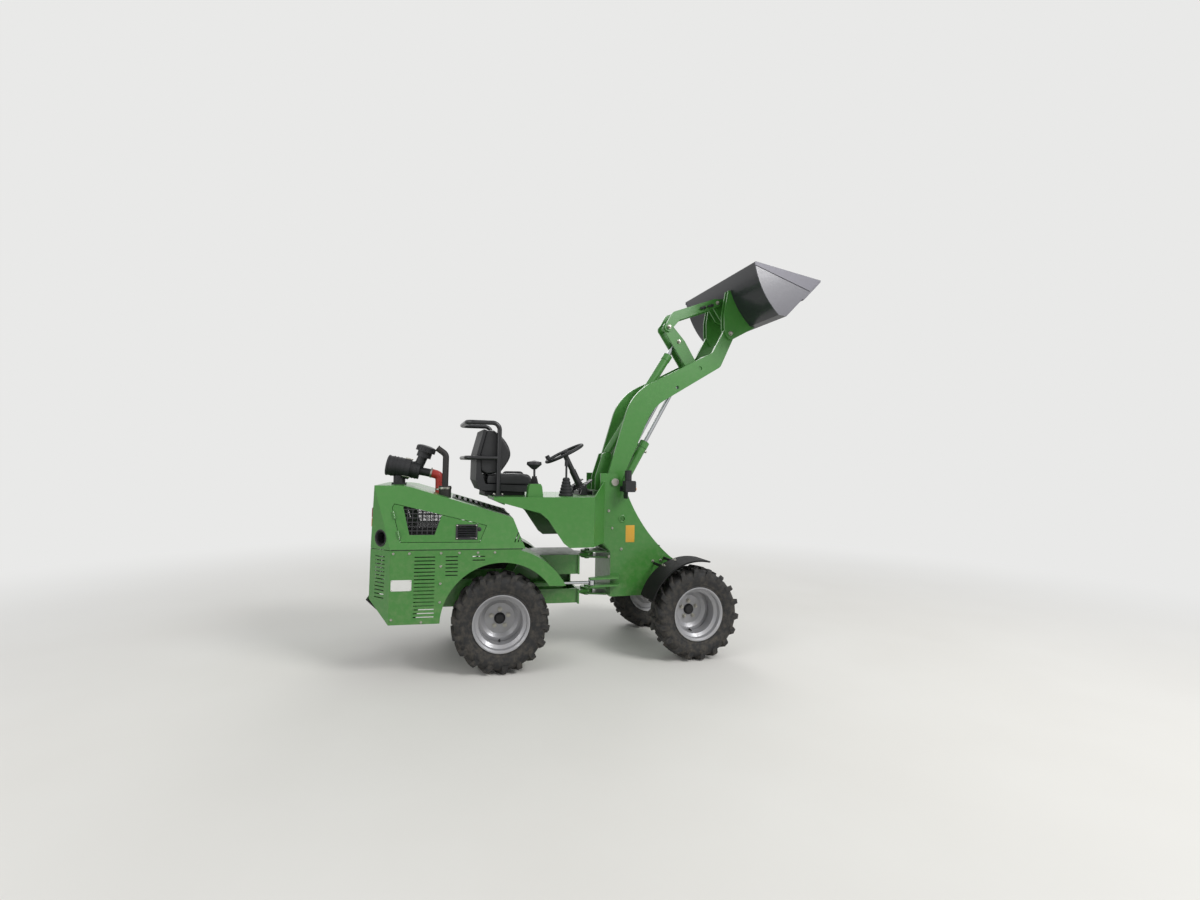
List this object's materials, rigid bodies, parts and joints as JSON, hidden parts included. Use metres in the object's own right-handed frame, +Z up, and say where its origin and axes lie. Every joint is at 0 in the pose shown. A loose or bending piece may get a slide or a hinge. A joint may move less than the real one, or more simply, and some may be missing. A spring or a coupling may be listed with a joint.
{
  "type": "compact articulated wheel loader",
  "caption": "Small articulated loader: engine half and driver's half joined by an upright pivot, with a raised boom and bucket.",
  "frame": {"origin": "bottom centre of the whole machine's box, on the ground", "axes": "+X forward along the engine half, +Y to the left, +Z up; the driver's half stands turned 5 degrees to the left"},
  "size_m": [3.8854, 1.4954, 3.4556],
  "materials": {
    "tyre_rubber": "matte",
    "silver_rim": "satin",
    "engine_grey": "matte",
    "black_plastic": "matte",
    "black_paint": "satin",
    "seat_cover": "satin",
    "bucket_steel": "satin",
    "chromed_rod": "polished",
    "lamp_lens": "gloss",
    "green_paint": "gloss"
  },
  "bodies": {
    "rear_frame": {"rear_chassis": "green_paint", "engine_hood": "green_paint", "side_panel_right": "green_paint", "side_panel_left": "green_paint", "rear_panel": "green_paint", "underguard": "black_paint", "engine_block": "engine_grey", "air_cleaner": "black_plastic", "exhaust": "black_paint", "rear_lamps": "lamp_lens", "rear_axle": "black_paint"},
    "front_frame": {"front_frame": "green_paint", "front_axle": "black_paint", "front_fenders": "black_plastic", "platform": "green_paint", "seat_shell": "black_plastic", "seat_cushion": "seat_cover", "seat_back_cushion": "seat_cover", "guard_rail": "black_paint", "steering_column": "black_paint", "control_levers": "black_plastic", "front_lamps": "black_plastic"},
    "hood_door_right": {"hood_door_right": "green_paint"},
    "hood_door_left": {"hood_door_left": "green_paint"},
    "steering_wheel": {"steering_wheel": "black_plastic"},
    "lift_barrels": {"lift_barrels": "green_paint"},
    "lift_rods": {"lift_rods": "chromed_rod"},
    "tilt_barrel": {"tilt_barrel": "green_paint"},
    "tilt_rod": {"tilt_rod": "chromed_rod"},
    "boom": {"boom": "green_paint"},
    "bell_crank": {"bell_crank": "green_paint"},
    "tilt_link": {"tilt_link": "green_paint"},
    "bucket": {"bucket": "bucket_steel", "quick_coupler": "green_paint"},
    "steering_barrel": {"steering_barrel": "green_paint"},
    "steering_rod": {"steering_rod": "chromed_rod"},
    "wheel_rear_right": {"rim_rear_right": "silver_rim", "tyre_rear_right": "tyre_rubber"},
    "wheel_rear_left": {"rim_rear_left": "silver_rim", "tyre_rear_left": "tyre_rubber"},
    "wheel_front_right": {"rim_front_right": "silver_rim", "tyre_front_right": "tyre_rubber"},
    "wheel_front_left": {"rim_front_left": "silver_rim", "tyre_front_left": "tyre_rubber"}
  },
  "joints": [
    {"name": "steer", "type": "hinge", "parent": "rear_frame", "child": "front_frame", "pos_m": [-0.11666, -0.09973, 0.64988], "axis": [0, 0, 1], "range_deg": [-45, 35]},
    {"name": "spin_rear_right", "type": "hinge", "parent": "rear_frame", "child": "wheel_rear_right", "pos_m": [-0.91666, -0.61973, 0.38488], "axis": [0, 1, 0], "continuous": true},
    {"name": "spin_rear_left", "type": "hinge", "parent": "rear_frame", "child": "wheel_rear_left", "pos_m": [-0.91666, 0.42027, 0.38488], "axis": [0, 1, 0], "continuous": true},
    {"name": "spin_front_right", "type": "hinge", "parent": "front_frame", "child": "wheel_front_right", "pos_m": [0.72562, -0.54802, 0.38488], "axis": [-0.0872, 0.9962, 0], "continuous": true},
    {"name": "spin_front_left", "type": "hinge", "parent": "front_frame", "child": "wheel_front_left", "pos_m": [0.63497, 0.48802, 0.38488], "axis": [-0.0872, 0.9962, 0], "continuous": true},
    {"name": "open_right_door", "type": "hinge", "parent": "rear_frame", "child": "hood_door_right", "pos_m": [-1.72466, -0.65595, 1.14143], "axis": [0.2717, -0.2491, -0.9296], "range_deg": [0, 100]},
    {"name": "open_left_door", "type": "hinge", "parent": "rear_frame", "child": "hood_door_left", "pos_m": [-1.72466, 0.4565, 1.14143], "axis": [-0.2717, -0.2491, 0.9296], "range_deg": [0, 100]},
    {"name": "turn_steering_wheel", "type": "hinge", "parent": "front_frame", "child": "steering_wheel", "pos_m": [-0.34379, -0.1196, 1.72488], "axis": [-0.4584, -0.0401, 0.8878], "continuous": true},
    {"name": "lift_boom", "type": "hinge", "parent": "front_frame", "child": "boom", "pos_m": [0.06564, -0.08378, 1.47488], "axis": [0.0872, -0.9962, 0], "range_deg": [-95, 0]},
    {"name": "tilt_bucket", "type": "hinge", "parent": "boom", "child": "bucket", "pos_m": [1.22223, 0.01741, 2.90988], "axis": [-0.0872, 0.9962, 0], "range_deg": [-90, 75]},
    {"name": "turn_bell_crank", "type": "hinge", "parent": "boom", "child": "bell_crank", "pos_m": [0.91639, -0.00934, 2.55488], "axis": [-0.0872, 0.9962, 0], "range_deg": [-63.01, 52.51]},
    {"name": "turn_tilt_link", "type": "hinge", "parent": "bell_crank", "child": "tilt_link", "pos_m": [0.63846, -0.03366, 2.95188], "axis": [-0.0872, 0.9962, 0], "range_deg": [-41.26, 49.51]},
    {"name": "swing_lift_barrels", "type": "hinge", "parent": "front_frame", "child": "lift_barrels", "pos_m": [-0.00708, -0.09014, 1.12988], "axis": [0.0872, -0.9962, 0], "range_deg": [-81.84, 0.01]},
    {"name": "extend_lift_rods", "type": "slide", "parent": "lift_barrels", "child": "lift_rods", "axis": [0.4887, 0.0428, 0.8714], "range_m": [-0.44567, 0.0001]},
    {"name": "swing_tilt_barrel", "type": "hinge", "parent": "front_frame", "child": "tilt_barrel", "pos_m": [0.04373, -0.08569, 1.70088], "axis": [0.0872, -0.9962, 0], "range_deg": [-95.92, 0.01]},
    {"name": "extend_tilt_rod", "type": "slide", "parent": "tilt_barrel", "child": "tilt_rod", "axis": [0.534, 0.0467, 0.8442], "range_m": [-0.10691, 0.08911]},
    {"name": "swing_steering_barrel", "type": "hinge", "parent": "rear_frame", "child": "steering_barrel", "pos_m": [-0.87666, -0.38473, 0.62188], "axis": [0, 0, 1], "range_deg": [-3.22, 4.14]},
    {"name": "extend_steering_rod", "type": "slide", "parent": "steering_barrel", "child": "steering_rod", "axis": [0.9997, -0.024, 0], "range_m": [-0.21354, 0.16611]}
  ],
  "couplings": [
    {"joint": "turn_bell_crank", "follows": "tilt_bucket", "ratio": 0.7},
    {"joint": "turn_tilt_link", "follows": "tilt_bucket", "ratio": -0.55},
    {"joint": "swing_lift_barrels", "follows": "lift_boom", "ratio": 0.86138},
    {"joint": "extend_lift_rods", "follows": "lift_boom", "m_per_rad": 0.26873},
    {"joint": "swing_tilt_barrel", "follows": "lift_boom", "ratio": 1.0096},
    {"joint": "extend_tilt_rod", "follows": "tilt_bucket", "m_per_rad": 0.068},
    {"joint": "swing_steering_barrel", "follows": "steer", "ratio": -0.091687},
    {"joint": "extend_steering_rod", "follows": "steer", "m_per_rad": 0.27176}
  ]
}
